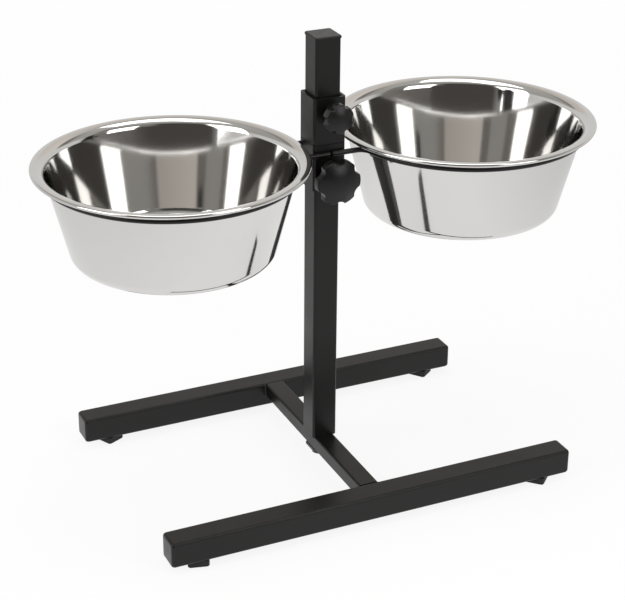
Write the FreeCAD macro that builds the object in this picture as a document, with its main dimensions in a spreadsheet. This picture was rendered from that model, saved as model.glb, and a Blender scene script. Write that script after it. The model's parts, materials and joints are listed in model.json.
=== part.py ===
import FreeCAD
import Part
import Sketcher
import math
import os

# A raised double feeder for a dog: an H-shaped tube base, a square post, a clamped carrier with two
# wire rings, a clamped collar above it, and two steel bowls that hang in the rings.
# Millimetres. The origin is on the floor under the post, +X along the legs, +Y to the rear, +Z up.

doc = FreeCAD.newDocument("double_feeder")
sheet = doc.addObject("Spreadsheet::Sheet", "sizes")

SIZES = {
    # Base: two legs, a cross bar, end caps, feet
    "leg_length": 414,
    "leg_side": 25,
    "leg_spacing": 246,
    "tube_wall": 1.5,
    "tube_corner": 2.5,
    "bar_width": 20,
    "bar_height": 15,
    "bar_corner": 2,
    "cap_plate": 3,
    "cap_insert": 14,
    "cap_wall": 2,
    "cap_round": 1.2,
    "cap_fit": 0.15,
    "foot_side": 20,
    "foot_height": 7,
    "foot_inset": 29,
    "foot_corner": 3,
    "foot_round": 1,
    "foot_recess_depth": 3,
    "foot_screw_diameter": 4,
    "foot_screw_reach": 11,
    "foot_head_diameter": 8,
    "foot_head_height": 2.4,
    "turn_front_left": -14,
    "turn_front_right": 44,
    "turn_rear_left": 26,
    "turn_rear_right": 37,
    # Post and the bolt that holds it
    "post_side": 25,
    "post_length": 405.5,
    "post_cap_plate": 2.5,
    "post_cap_overhang": 0.6,
    "base_plug_height": 10,
    "bolt_diameter": 8,
    "bolt_flats": 13,
    "bolt_head_height": 5.5,
    "bolt_spare": 3,
    "washer_side": 20,
    "washer_thickness": 3,
    # Fits
    "thread_fit": 0.05,
    "hole_fit": 0.3,
    # Sleeves of the carrier and the collar
    "sleeve_wall": 2.5,
    "sleeve_play": 1,
    "sleeve_corner": 3,
    "sleeve_height": 44,
    "sleeve_gap": 0.5,
    "seat_gap": 0.1,
    "collar_drop": 53.5,
    "nut_flats": 13,
    "nut_height": 6.5,
    "nut_setback": 30,
    "screw_diameter": 8,
    "screw_point": 1,
    "tip_gap": 0.2,
    "root_gap": 0.3,
    # Star knobs
    "knob_gap": 0.6,
    "knob_hub_diameter": 18,
    "knob_hub_depth": 6,
    "knob_lobes": 6,
    "knob_dome": 4,
    "knob_edge": 2,
    "knob_skin": 4,
    "carrier_knob_diameter": 43,
    "carrier_knob_depth": 15,
    "carrier_scallop": 6.5,
    "collar_knob_diameter": 28,
    "collar_knob_depth": 12,
    "collar_scallop": 4,
    # Bowls and the wire rings that hold them
    "bowl_offset": 148,
    "bowl_height": 91,
    "brim_width": 11.15,
    "wall_top_diameter": 228.7,
    "wall_foot_diameter": 184,
    "bowl_corner": 13,
    "bowl_shoulder": 9,
    "sheet_thickness": 0.7,
    "bead_diameter": 3.6,
    "wire_diameter": 5,
    "wire_bend": 10,
    "wire_meet": 2,
    "ring_drop": 8.5,
    "ring_play": 0.4,
}
for row, (alias, value) in enumerate(SIZES.items(), start=1):
    sheet.set("A%d" % row, alias)
    sheet.set("B%d" % row, str(value))
    sheet.setAlias("B%d" % row, alias)
doc.recompute()

# Levels and places that several pieces share, as expressions of the sizes
LEG_TOP = "(sizes.foot_height + sizes.leg_side)"
BAR_BOTTOM = "(%s - sizes.bar_height)" % LEG_TOP
POST_BORE = "(sizes.post_side - 2 * sizes.tube_wall)"
LEG_BORE = "(sizes.leg_side - 2 * sizes.tube_wall)"
SLEEVE_BORE = "(sizes.post_side + 2 * sizes.sleeve_play)"
SLEEVE_SIDE = "(%s + 2 * sizes.sleeve_wall)" % SLEEVE_BORE
# The screw draws the sleeve forward until its rear wall meets the post
SLEEVE_Y = "(sizes.seat_gap - sizes.sleeve_play)"
SLEEVE_FRONT = "(%s - %s / 2)" % (SLEEVE_Y, SLEEVE_SIDE)
POST_TOP = "(%s + sizes.post_length)" % LEG_TOP
COLLAR_LEVEL = "(%s - sizes.collar_drop - sizes.sleeve_height)" % POST_TOP
CARRIER_TOP = "(%s - sizes.sleeve_gap)" % COLLAR_LEVEL
CARRIER_LEVEL = "(%s - sizes.sleeve_height)" % CARRIER_TOP
CARRIER_SCREW_Z = "(%s - sizes.nut_setback)" % CARRIER_TOP
COLLAR_SCREW_Z = "(%s + sizes.nut_setback)" % COLLAR_LEVEL
KNOB_BACK = "(%s - sizes.nut_height - sizes.knob_gap)" % SLEEVE_FRONT
SCREW_TIP = "(-sizes.post_side / 2 - sizes.tip_gap)"
BOWL_TOP = "(%s + 0.5 * sizes.sleeve_gap)" % CARRIER_TOP
RING_LEVEL = "(%s - sizes.ring_drop)" % BOWL_TOP
# Taper of the bowl wall, as radius gained per millimetre of height
WALL_RISE = "(sizes.bowl_height - sizes.sheet_thickness)"
WALL_SLOPE = "((sizes.wall_top_diameter - sizes.wall_foot_diameter) / 2 / %s)" % WALL_RISE
WALL_STEP = "sqrt(1 + %s ^ 2)" % WALL_SLOPE
WIRE_HEIGHT = "(sizes.bowl_height - sizes.ring_drop)"
WALL_AT_WIRE = "(sizes.wall_foot_diameter / 2 + %s * %s)" % (WALL_SLOPE, WIRE_HEIGHT)
RING_RADIUS = "(%s + (sizes.wire_diameter / 2 + sizes.ring_play) * %s)" % (WALL_AT_WIRE, WALL_STEP)
TAIL_Y = "((%s + sizes.wire_diameter) / 2)" % SLEEVE_SIDE


def number(expression):
    """Present value of an expression of the sizes."""
    result = sheet.evalExpression(expression)
    return float(getattr(result, "Value", result))


def place(piece, x="0", y="0", z="0", axis=(0, 0, 1), turn=None):
    """Puts a finished piece at expressions of the sizes, turned about one axis."""
    piece.Placement = FreeCAD.Placement(
        FreeCAD.Vector(0, 0, 0), FreeCAD.Rotation(FreeCAD.Vector(*axis), number(turn) if turn else 0))
    for direction, expression in zip("xyz", (x, y, z)):
        piece.setExpression("Placement.Base." + direction, expression)
    if turn:
        piece.setExpression("Placement.Rotation.Angle", turn)
    return piece


def new_body(label):
    body = doc.addObject("PartDesign::Body", label)
    body.Label = label
    return body


def new_sketch(body, role, name, height=None):
    """Sketch on one of the body's own origin planes, raised along its normal by height."""
    sketch = body.newObject("Sketcher::SketchObject", name)
    plane = next(feature for feature in body.Origin.OriginFeatures if feature.Role == role)
    sketch.AttachmentSupport = [(plane, "")]
    sketch.MapMode = "FlatFace"
    if height:
        sketch.setExpression("AttachmentOffset.Base.z", height)
    return sketch


def bind(sketch, constraint, expression):
    index = sketch.addConstraint(constraint)
    sketch.setExpression("Constraints[%d]" % index, expression)


def pin_point(sketch, element, point, x, y):
    """Holds a point of the sketch at x, y from the sketch's origin; "0" puts it on that axis."""
    for kind, axis, expression in (("DistanceX", -2, x), ("DistanceY", -1, y)):
        if expression == "0":
            sketch.addConstraint(Sketcher.Constraint("PointOnObject", element, point, axis))
        else:
            value = number(expression)
            bind(sketch, Sketcher.Constraint(kind, -1, 1, element, point, value), expression)


def add_polygon(sketch, corners):
    """Closed outline of straight sides through corners given as pairs of expressions."""
    points = [FreeCAD.Vector(number(x), number(y), 0) for x, y in corners]
    count = len(points)
    for i in range(count):
        sketch.addGeometry(Part.LineSegment(points[i], points[(i + 1) % count]), False)
    for i in range(count):
        sketch.addConstraint(Sketcher.Constraint("Coincident", i, 2, (i + 1) % count, 1))
    for i, (x, y) in enumerate(corners):
        pin_point(sketch, i, 1, x, y)


def add_rectangle(sketch, width, height):
    """Rectangle centred on the sketch's origin."""
    half_x = number(width) / 2
    half_y = number(height) / 2
    corners = [(-half_x, -half_y), (half_x, -half_y), (half_x, half_y), (-half_x, half_y)]
    points = [FreeCAD.Vector(x, y, 0) for x, y in corners]
    first = sketch.GeometryCount
    for i in range(4):
        sketch.addGeometry(Part.LineSegment(points[i], points[(i + 1) % 4]), False)
    for i in range(4):
        sketch.addConstraint(Sketcher.Constraint("Coincident", first + i, 2, first + (i + 1) % 4, 1))
        kind = "Horizontal" if i % 2 == 0 else "Vertical"
        sketch.addConstraint(Sketcher.Constraint(kind, first + i))
    sketch.addConstraint(Sketcher.Constraint("Symmetric", first, 1, first + 2, 1, -1, 1))
    bind(sketch, Sketcher.Constraint("DistanceX", first, 1, first, 2, 2 * half_x), width)
    bind(sketch, Sketcher.Constraint("DistanceY", first + 1, 1, first + 1, 2, 2 * half_y), height)


def add_circle(sketch, diameter, x="0", y="0"):
    centre = FreeCAD.Vector(number(x), number(y), 0)
    circle = sketch.addGeometry(Part.Circle(centre, FreeCAD.Vector(0, 0, 1), number(diameter) / 2), False)
    if x == "0" and y == "0":
        sketch.addConstraint(Sketcher.Constraint("Coincident", circle, 3, -1, 1))
    else:
        pin_point(sketch, circle, 3, x, y)
    bind(sketch, Sketcher.Constraint("Diameter", circle, number(diameter)), diameter)


def pad(body, sketch, length, middle=False, reverse=False):
    feature = body.newObject("PartDesign::Pad", "Pad")
    feature.Profile = sketch
    feature.setExpression("Length", length)
    if middle:
        feature.SideType = "Symmetric"
    feature.Reversed = reverse
    doc.recompute()
    return feature


def cut(body, sketch, length=None, both=False, reverse=False):
    """Pocket through everything, or to a depth; it has to take material away."""
    before = body.Shape.Volume
    feature = body.newObject("PartDesign::Pocket", "Pocket")
    feature.Profile = sketch
    if length:
        feature.setExpression("Length", length)
    else:
        feature.Type = "ThroughAll"
    if both:
        feature.SideType = "Symmetric"
    feature.Reversed = reverse
    doc.recompute()
    if not body.Shape.Volume < before:
        raise ValueError("a pocket in %s cuts nothing" % body.Label)
    return feature


def edges_where(body, test):
    """Names of the body's edges whose middle point and tangent pass a test."""
    names = []
    for i, edge in enumerate(body.Shape.Edges, start=1):
        middle = (edge.FirstParameter + edge.LastParameter) / 2
        if test(edge, edge.valueAt(middle), edge.tangentAt(middle)):
            names.append("Edge%d" % i)
    return names


def round_edges(body, names, radius):
    if not names:
        raise ValueError("no edges to round in %s" % body.Label)
    solid = body.Tip
    feature = body.newObject("PartDesign::Fillet", "Fillet")
    feature.Base = (solid, names)
    feature.setExpression("Radius", radius)
    doc.recompute()
    return feature


def long_edges(body, axis):
    """Straight edges that run along an axis, given as a unit vector."""
    along = FreeCAD.Vector(*axis)
    return edges_where(body, lambda edge, middle, tangent: edge.Curve.TypeId == "Part::GeomLine"
                       and abs(tangent.dot(along)) > 0.999)


def revolve(body, sketch, subtract=False):
    """Full turn about the sketch's upright axis."""
    feature = body.newObject("PartDesign::Groove" if subtract else "PartDesign::Revolution", "Turned")
    feature.Profile = sketch
    feature.ReferenceAxis = (sketch, ["V_Axis"])
    feature.Angle = 360
    doc.recompute()
    return feature


def square_tube(label, role, axis, length, width, height, wall, corner):
    """Rectangular tube about its own origin, along the normal of the sketch plane, with rounded corners."""
    body = new_body(label)
    outline = new_sketch(body, role, "Outline")
    add_rectangle(outline, width, height)
    pad(body, outline, length, middle=True)
    round_edges(body, long_edges(body, axis), corner)
    bore = new_sketch(body, role, "Bore")
    add_rectangle(bore, "%s - 2 * %s" % (width, wall), "%s - 2 * %s" % (height, wall))
    cut(body, bore, both=True)
    return body


def end_cap(label, outer, bore, plate, insert):
    """Moulded plug: a plate with rounded edges on +Z and a hollow square stem on -Z."""
    body = new_body(label)
    face = new_sketch(body, "XY_Plane", "Face")
    add_rectangle(face, outer, outer)
    pad(body, face, plate)
    round_edges(body, long_edges(body, (0, 0, 1)), "sizes.tube_corner")
    top = edges_where(body, lambda edge, middle, tangent: middle.z > number(plate) - 0.01)
    round_edges(body, top, "sizes.cap_round")
    stem_side = "%s - 2 * sizes.cap_fit" % bore
    stem = new_sketch(body, "XY_Plane", "Stem")
    add_rectangle(stem, stem_side, stem_side)
    pad(body, stem, insert, reverse=True)
    hollow = new_sketch(body, "XY_Plane", "Hollow")
    add_rectangle(hollow, stem_side + " - 2 * sizes.cap_wall", stem_side + " - 2 * sizes.cap_wall")
    cut(body, hollow, length=insert)
    return body


def hexagon(name, flats, height):
    """Hexagonal prism along +Z with its far corners turned down at thirty degrees."""
    prism = doc.addObject("Part::Prism", name + "_prism")
    prism.Polygon = 6
    prism.setExpression("Circumradius", "%s / 2 / cos(30)" % flats)
    prism.setExpression("Height", height)
    cone = doc.addObject("Part::Cone", name + "_chamfer")
    cone.setExpression("Radius1", "0.475 * %s + %s * tan(60)" % (flats, height))
    cone.setExpression("Radius2", "0.475 * " + flats)
    cone.setExpression("Height", height)
    common = doc.addObject("Part::Common", name + "_hexagon")
    common.Base = prism
    common.Tool = cone
    return common


def cylinder(name, radius, height, z="0"):
    solid = doc.addObject("Part::Cylinder", name)
    solid.setExpression("Radius", radius)
    solid.setExpression("Height", height)
    solid.setExpression("Placement.Base.z", z)
    return solid


def join(kind, label, base, tool):
    result = doc.addObject("Part::" + kind, label)
    result.Label = label
    result.Base = base
    result.Tool = tool
    return result


pieces = []

# Legs: square tubes along X, with a screw hole over each foot
FOOT_X = "(sizes.leg_length / 2 - sizes.foot_inset)"
for label, side in (("front_leg_tube", "-1"), ("rear_leg_tube", "1")):
    leg = square_tube(label, "YZ_Plane", (1, 0, 0), "sizes.leg_length - 2 * sizes.cap_plate",
                      "sizes.leg_side", "sizes.leg_side", "sizes.tube_wall", "sizes.tube_corner")
    holes = new_sketch(leg, "XY_Plane", "FootHoles")
    add_circle(holes, "sizes.foot_screw_diameter + 2 * sizes.hole_fit", FOOT_X)
    add_circle(holes, "sizes.foot_screw_diameter + 2 * sizes.hole_fit", "-1 * " + FOOT_X)
    cut(leg, holes)
    pieces.append(place(leg, y=side + " * sizes.leg_spacing / 2", z="sizes.foot_height + sizes.leg_side / 2"))

# Cross bar: flat tube between the legs, flush with their tops, drilled for the bolt of the post
cross_bar = square_tube("cross_bar", "XZ_Plane", (0, 1, 0), "sizes.leg_spacing - sizes.leg_side",
                        "sizes.bar_width", "sizes.bar_height", "sizes.tube_wall", "sizes.bar_corner")
bolt_hole = new_sketch(cross_bar, "XY_Plane", "BoltHole")
add_circle(bolt_hole, "sizes.bolt_diameter + 2 * sizes.hole_fit")
cut(cross_bar, bolt_hole, both=True)
pieces.append(place(cross_bar, z=LEG_TOP + " - sizes.bar_height / 2"))

# End caps of the legs, feet under them, and one screw for each foot
foot_screw_solids = []
for depth, side_y in (("front", "-1"), ("rear", "1")):
    for width, side_x, turn_y in (("left", "-1", "-90"), ("right", "1", "90")):
        corner_name = "%s_%s" % (depth, width)
        leg_y = side_y + " * sizes.leg_spacing / 2"
        cap = end_cap(corner_name + "_cap", "sizes.leg_side", LEG_BORE, "sizes.cap_plate", "sizes.cap_insert")
        pieces.append(place(cap, x=side_x + " * (sizes.leg_length / 2 - sizes.cap_plate)", y=leg_y,
                            z="sizes.foot_height + sizes.leg_side / 2", axis=(0, 1, 0), turn=turn_y))

        foot = new_body(corner_name + "_foot")
        pad_outline = new_sketch(foot, "XY_Plane", "PadOutline")
        add_rectangle(pad_outline, "sizes.foot_side", "sizes.foot_side")
        pad(foot, pad_outline, "sizes.foot_height")
        round_edges(foot, long_edges(foot, (0, 0, 1)), "sizes.foot_corner")
        sole = edges_where(foot, lambda edge, middle, tangent: middle.z < 0.01)
        round_edges(foot, sole, "sizes.foot_round")
        shank_hole = new_sketch(foot, "XY_Plane", "ShankHole")
        add_circle(shank_hole, "sizes.foot_screw_diameter + 2 * sizes.hole_fit")
        cut(foot, shank_hole, both=True)
        recess = new_sketch(foot, "XY_Plane", "HeadRecess")
        add_circle(recess, "sizes.foot_head_diameter + 2 * sizes.hole_fit")
        cut(foot, recess, length="sizes.foot_recess_depth", reverse=True)
        foot_x = side_x + " * " + FOOT_X
        pieces.append(place(foot, x=foot_x, y=leg_y, turn="sizes.turn_" + corner_name))

        head = cylinder(corner_name + "_screw_head", "sizes.foot_head_diameter / 2", "sizes.foot_head_height",
                        "sizes.foot_recess_depth - sizes.foot_head_height")
        shank = cylinder(corner_name + "_screw_shank", "sizes.foot_screw_diameter / 2",
                         "sizes.foot_screw_reach", "sizes.foot_recess_depth - sizes.foot_head_height / 2")
        screw = join("Fuse", corner_name + "_screw", head, shank)
        foot_screw_solids.append(place(screw, x=foot_x, y=leg_y))
foot_screws = doc.addObject("Part::Compound", "foot_screws")
foot_screws.Label = "foot_screws"
foot_screws.Links = foot_screw_solids
pieces.append(foot_screws)

# Post: square tube on the cross bar, a cap on top, a threaded plug in its foot and a bolt from below
post = square_tube("post_tube", "XY_Plane", (0, 0, 1), "sizes.post_length", "sizes.post_side",
                   "sizes.post_side", "sizes.tube_wall", "sizes.tube_corner")
pieces.append(place(post, z=LEG_TOP + " + sizes.post_length / 2"))

post_cap = end_cap("post_cap", "sizes.post_side + 2 * sizes.post_cap_overhang", POST_BORE,
                   "sizes.post_cap_plate", "sizes.cap_insert")
pieces.append(place(post_cap, z=POST_TOP))

base_plug = new_body("base_plug")
plug_outline = new_sketch(base_plug, "XY_Plane", "PlugOutline")
add_rectangle(plug_outline, POST_BORE + " - 2 * sizes.cap_fit", POST_BORE + " - 2 * sizes.cap_fit")
pad(base_plug, plug_outline, "sizes.base_plug_height")
plug_thread = new_sketch(base_plug, "XY_Plane", "PlugThread")
add_circle(plug_thread, "sizes.bolt_diameter + 2 * sizes.thread_fit")
cut(base_plug, plug_thread, both=True)
pieces.append(place(base_plug, z=LEG_TOP))

washer = new_body("post_washer")
washer_outline = new_sketch(washer, "XY_Plane", "WasherOutline")
add_rectangle(washer_outline, "sizes.washer_side", "sizes.washer_side")
add_circle(washer_outline, "sizes.bolt_diameter + 2 * sizes.hole_fit")
pad(washer, washer_outline, "sizes.washer_thickness")
pieces.append(place(washer, z=BAR_BOTTOM + " - sizes.washer_thickness"))

bolt_shank = cylinder("post_bolt_shank", "sizes.bolt_diameter / 2",
                      "sizes.washer_thickness + sizes.bar_height + sizes.base_plug_height + sizes.bolt_spare"
                      " + sizes.bolt_head_height / 2", "-sizes.bolt_head_height / 2")
bolt_head = hexagon("post_bolt_head", "sizes.bolt_flats", "sizes.bolt_head_height")
place(bolt_head, axis=(1, 0, 0), turn="180")
post_bolt = join("Fuse", "post_bolt", bolt_head, bolt_shank)
pieces.append(place(post_bolt, z=BAR_BOTTOM + " - sizes.washer_thickness"))


def clamp_sleeve(label, level, screw_height):
    """Square sleeve round the post with a screw hole in its front wall."""
    sleeve = square_tube(label, "XY_Plane", (0, 0, 1), "sizes.sleeve_height", SLEEVE_SIDE, SLEEVE_SIDE,
                         "sizes.sleeve_wall", "sizes.sleeve_corner")
    hole = new_sketch(sleeve, "XZ_Plane", "ScrewHole")
    add_circle(hole, "sizes.screw_diameter + 2 * sizes.hole_fit", "0", screw_height)
    cut(sleeve, hole, reverse=True)
    return place(sleeve, y=SLEEVE_Y, z=level + " + sizes.sleeve_height / 2")


def weld_nut(label, level):
    """Hexagon nut on the front wall of a sleeve, its thread along Y."""
    bore = cylinder(label + "_bore", "sizes.screw_diameter / 2 + sizes.thread_fit", "sizes.nut_height")
    nut = join("Cut", label, hexagon(label, "sizes.nut_flats", "sizes.nut_height"), bore)
    return place(nut, y=SLEEVE_FRONT, z=level, axis=(1, 0, 0), turn="90")


def clamp_screw(label, level, knob_depth):
    """Threaded stud from its chamfered tip at the post to its root inside the knob."""
    screw = new_body(label)
    section = new_sketch(screw, "XY_Plane", "Section")
    add_circle(section, "sizes.screw_diameter")
    pad(screw, section, "%s - %s + sizes.knob_hub_depth + %s - sizes.knob_skin - sizes.root_gap"
        % (SCREW_TIP, KNOB_BACK, knob_depth))
    tip = edges_where(screw, lambda edge, middle, tangent: middle.z < 0.01)
    rod = screw.Tip
    point = screw.newObject("PartDesign::Chamfer", "Point")
    point.Base = (rod, tip)
    point.setExpression("Size", "sizes.screw_point")
    doc.recompute()
    return place(screw, y=SCREW_TIP, z=level, axis=(1, 0, 0), turn="90")


def star_knob(label, level, diameter, depth, scallop, upright):
    """Moulded star grip along +Z: a hub, a lobed body with a domed face, and a blind hole for the stud.

    An upright knob rests with a lobe at its top; otherwise a valley is there.
    """
    knob = new_body(label)
    rim = new_sketch(knob, "XY_Plane", "Rim", height="sizes.knob_hub_depth")
    add_circle(rim, diameter)
    pad(knob, rim, depth)
    valley = new_sketch(knob, "XY_Plane", "Valley", height="sizes.knob_hub_depth")
    valley_reach = "%s / 2 + 0.45 * %s" % (diameter, scallop)
    valley_x, valley_y = (valley_reach, "0") if upright else ("0", valley_reach)
    add_circle(valley, "2 * " + scallop, valley_x, valley_y)
    valley_cut = cut(knob, valley, reverse=True)
    pattern = knob.newObject("PartDesign::PolarPattern", "Valleys")
    pattern.Originals = [valley_cut]
    pattern.Axis = (valley, ["N_Axis"])
    pattern.Angle = 360
    pattern.setExpression("Occurrences", "sizes.knob_lobes")
    knob.Tip = pattern
    doc.recompute()
    round_edges(knob, long_edges(knob, (0, 0, 1)), "sizes.knob_edge")
    face = "(sizes.knob_hub_depth + %s)" % depth
    outside = "(%s / 2 + 1)" % diameter
    dome = new_sketch(knob, "XZ_Plane", "Dome")
    add_polygon(dome, [("%s / 4" % diameter, face), (outside, face), (outside, face + " - sizes.knob_dome")])
    revolve(knob, dome, subtract=True)
    hub = new_sketch(knob, "XY_Plane", "Hub")
    add_circle(hub, "sizes.knob_hub_diameter")
    pad(knob, hub, "sizes.knob_hub_depth")
    socket = new_sketch(knob, "XY_Plane", "Socket")
    add_circle(socket, "sizes.screw_diameter + 2 * sizes.thread_fit")
    cut(knob, socket, length=face + " - sizes.knob_skin", reverse=True)
    return place(knob, y=KNOB_BACK, z=level, axis=(1, 0, 0), turn="90")


NUT_ABOVE_MIDDLE = "(sizes.nut_setback - sizes.sleeve_height / 2)"
pieces.append(clamp_sleeve("carrier_sleeve", CARRIER_LEVEL, "-1 * " + NUT_ABOVE_MIDDLE))
pieces.append(clamp_sleeve("collar_sleeve", COLLAR_LEVEL, NUT_ABOVE_MIDDLE))
for clamp, level, upright in (("carrier", CARRIER_SCREW_Z, False), ("collar", COLLAR_SCREW_Z, True)):
    knob_depth = "sizes.%s_knob_depth" % clamp
    pieces.append(weld_nut(clamp + "_nut", level))
    pieces.append(clamp_screw(clamp + "_screw", level, knob_depth))
    pieces.append(star_knob(clamp + "_knob", level, "sizes.%s_knob_diameter" % clamp, knob_depth,
                            "sizes.%s_scallop" % clamp, upright))


def wire_ring(label, turn, side):
    """Bent wire: a tail along the sleeve's front, an arc round the bowl, a tail along the sleeve's rear."""
    ring = new_body(label)
    centre_x = "sizes.bowl_offset - sizes.wire_meet / 2"
    middle_x = number(centre_x)
    tail_y = number(TAIL_Y)
    radius = number(RING_RADIUS)
    bend = number("sizes.wire_bend")
    reach = radius + bend
    bend_x = middle_x - (reach ** 2 - (tail_y + bend) ** 2) ** 0.5
    lean = math.atan2(tail_y + bend, middle_x - bend_x)
    normal = FreeCAD.Vector(0, 0, 1)
    front_bend = Part.Circle(FreeCAD.Vector(bend_x, -tail_y - bend, 0), normal, bend)
    rear_bend = Part.Circle(FreeCAD.Vector(bend_x, tail_y + bend, 0), normal, bend)
    hoop = Part.Circle(FreeCAD.Vector(middle_x, 0, 0), normal, radius)
    path = new_sketch(ring, "XY_Plane", "Path")
    front_tail = Part.LineSegment(FreeCAD.Vector(0, -tail_y, 0), FreeCAD.Vector(bend_x, -tail_y, 0))
    rear_tail = Part.LineSegment(FreeCAD.Vector(bend_x, tail_y, 0), FreeCAD.Vector(0, tail_y, 0))
    path.addGeometry(front_tail, False)
    path.addGeometry(Part.ArcOfCircle(front_bend, lean, math.pi / 2), False)
    path.addGeometry(Part.ArcOfCircle(hoop, lean - math.pi, math.pi - lean), False)
    path.addGeometry(Part.ArcOfCircle(rear_bend, -math.pi / 2, -lean), False)
    path.addGeometry(rear_tail, False)
    # Each stretch of wire runs on smoothly into the next
    path.addConstraint(Sketcher.Constraint("Tangent", 0, 2, 1, 2))
    path.addConstraint(Sketcher.Constraint("Tangent", 1, 1, 2, 1))
    path.addConstraint(Sketcher.Constraint("Tangent", 2, 2, 3, 2))
    path.addConstraint(Sketcher.Constraint("Tangent", 3, 1, 4, 1))
    path.addConstraint(Sketcher.Constraint("Horizontal", 0))
    path.addConstraint(Sketcher.Constraint("PointOnObject", 0, 1, -2))
    path.addConstraint(Sketcher.Constraint("Symmetric", 0, 1, 4, 2, -1, 1))
    path.addConstraint(Sketcher.Constraint("Equal", 1, 3))
    bind(path, Sketcher.Constraint("DistanceY", 0, 1, 4, 2, 2 * tail_y), "2 * " + TAIL_Y)
    bind(path, Sketcher.Constraint("Radius", 1, bend), "sizes.wire_bend")
    bind(path, Sketcher.Constraint("Radius", 2, radius), RING_RADIUS)
    pin_point(path, 2, 3, centre_x, "0")
    section = new_sketch(ring, "YZ_Plane", "Section")
    add_circle(section, "sizes.wire_diameter", "-1 * " + TAIL_Y)
    doc.recompute()
    pipe = ring.newObject("PartDesign::AdditivePipe", "Wire")
    pipe.Profile = section
    pipe.Spine = path
    doc.recompute()
    return place(ring, x=side + " * sizes.wire_meet / 2", y=SLEEVE_Y, z=RING_LEVEL, turn=turn)


def steel_bowl(label, side):
    """Drawn sheet bowl: flat floor, tapered wall, flared shoulder, flat brim and a rolled bead round it."""
    bowl = new_body(label)
    brim = "(sizes.wall_top_diameter / 2 + sizes.brim_width - sizes.bead_diameter / 2)"
    underside = WALL_RISE
    outside = new_sketch(bowl, "XZ_Plane", "Outside")
    add_polygon(outside, [("0", "0"), ("sizes.wall_foot_diameter / 2", "0"),
                          ("sizes.wall_top_diameter / 2", underside), (brim, underside),
                          (brim, "sizes.bowl_height"), ("0", "sizes.bowl_height")])
    revolve(bowl, outside)
    # The inside lies one sheet thickness in, measured square to the wall
    inset = "sizes.sheet_thickness * " + WALL_STEP
    floor_radius = "sizes.wall_foot_diameter / 2 + %s * sizes.sheet_thickness - %s" % (WALL_SLOPE, inset)
    mouth_radius = "sizes.wall_foot_diameter / 2 + %s * sizes.bowl_height - %s" % (WALL_SLOPE, inset)
    inside = new_sketch(bowl, "XZ_Plane", "Inside")
    add_polygon(inside, [("0", "sizes.sheet_thickness"), (floor_radius, "sizes.sheet_thickness"),
                         (mouth_radius, "sizes.bowl_height"), ("0", "sizes.bowl_height")])
    revolve(bowl, inside, subtract=True)

    def bend(height, reach, radius):
        names = edges_where(bowl, lambda edge, middle, tangent: abs(middle.z - number(height)) < 0.01
                            and abs(math.hypot(middle.x, middle.y) - number(reach)) < 0.01)
        round_edges(bowl, names, radius)

    bend("0", "sizes.wall_foot_diameter / 2", "sizes.bowl_corner")
    bend("sizes.sheet_thickness", floor_radius, "sizes.bowl_corner - sizes.sheet_thickness")
    bend(underside, "sizes.wall_top_diameter / 2", "sizes.bowl_shoulder")
    bend("sizes.bowl_height", mouth_radius, "sizes.bowl_shoulder + sizes.sheet_thickness")
    bead = new_sketch(bowl, "XZ_Plane", "Bead")
    add_circle(bead, "sizes.bead_diameter", brim, "sizes.bowl_height - sizes.bead_diameter / 2")
    revolve(bowl, bead)
    return place(bowl, x=side + " * sizes.bowl_offset", y=SLEEVE_Y, z=BOWL_TOP + " - sizes.bowl_height")


pieces.append(wire_ring("left_bowl_ring", "180", "-1"))
pieces.append(wire_ring("right_bowl_ring", "0", "1"))
pieces.append(steel_bowl("left_bowl", "-1"))
pieces.append(steel_bowl("right_bowl", "1"))

doc.recompute()
os.makedirs("parts", exist_ok=True)
for item in doc.Objects:
    if "Invalid" in item.State or "Error" in item.State:
        raise RuntimeError("%s did not build" % item.Label)
for piece in pieces:
    if piece.Shape.isNull() or not piece.Shape.isValid():
        raise RuntimeError("%s has no good shape" % piece.Label)
for piece in pieces:
    piece.Shape.exportStep("parts/%s.step" % piece.Label)
    box = piece.Shape.BoundBox
    print("%-18s solids %d volume %9.1f  x %7.1f %7.1f  y %7.1f %7.1f  z %7.1f %7.1f" % (
        piece.Label, len(piece.Shape.Solids), piece.Shape.Volume,
        box.XMin, box.XMax, box.YMin, box.YMax, box.ZMin, box.ZMax))
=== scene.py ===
# %% [markdown]
# # A raised double feeder for a dog
# The feeder is an H-shaped stand of square steel tube, a post, a clamped carrier with two wire rings, and two
# polished bowls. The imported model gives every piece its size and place. This lesson gives the pieces their
# finish, remakes the smooth ones as fine surfaces, and lights them like a studio portrait.

# %% Load the frame
import json
import math
import bpy
import numpy as np
from mathutils import Matrix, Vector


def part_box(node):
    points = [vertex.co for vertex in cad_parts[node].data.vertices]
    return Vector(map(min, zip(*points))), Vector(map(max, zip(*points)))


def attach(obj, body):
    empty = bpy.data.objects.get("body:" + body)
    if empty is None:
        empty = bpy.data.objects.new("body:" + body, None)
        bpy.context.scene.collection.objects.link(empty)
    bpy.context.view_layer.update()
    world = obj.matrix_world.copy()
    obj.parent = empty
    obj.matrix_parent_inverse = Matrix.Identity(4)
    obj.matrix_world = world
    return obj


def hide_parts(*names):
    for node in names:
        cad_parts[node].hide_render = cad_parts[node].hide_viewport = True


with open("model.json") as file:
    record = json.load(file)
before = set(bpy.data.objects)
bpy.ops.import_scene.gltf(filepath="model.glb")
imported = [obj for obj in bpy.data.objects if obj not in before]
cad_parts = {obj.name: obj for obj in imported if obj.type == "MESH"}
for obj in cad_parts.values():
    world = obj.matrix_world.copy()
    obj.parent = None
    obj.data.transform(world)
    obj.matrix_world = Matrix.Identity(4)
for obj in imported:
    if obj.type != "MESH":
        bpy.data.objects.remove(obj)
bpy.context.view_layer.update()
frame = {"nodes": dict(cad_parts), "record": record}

nodes = frame["nodes"]
MM = 0.001
print("pieces in the frame:", len(nodes))

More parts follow.
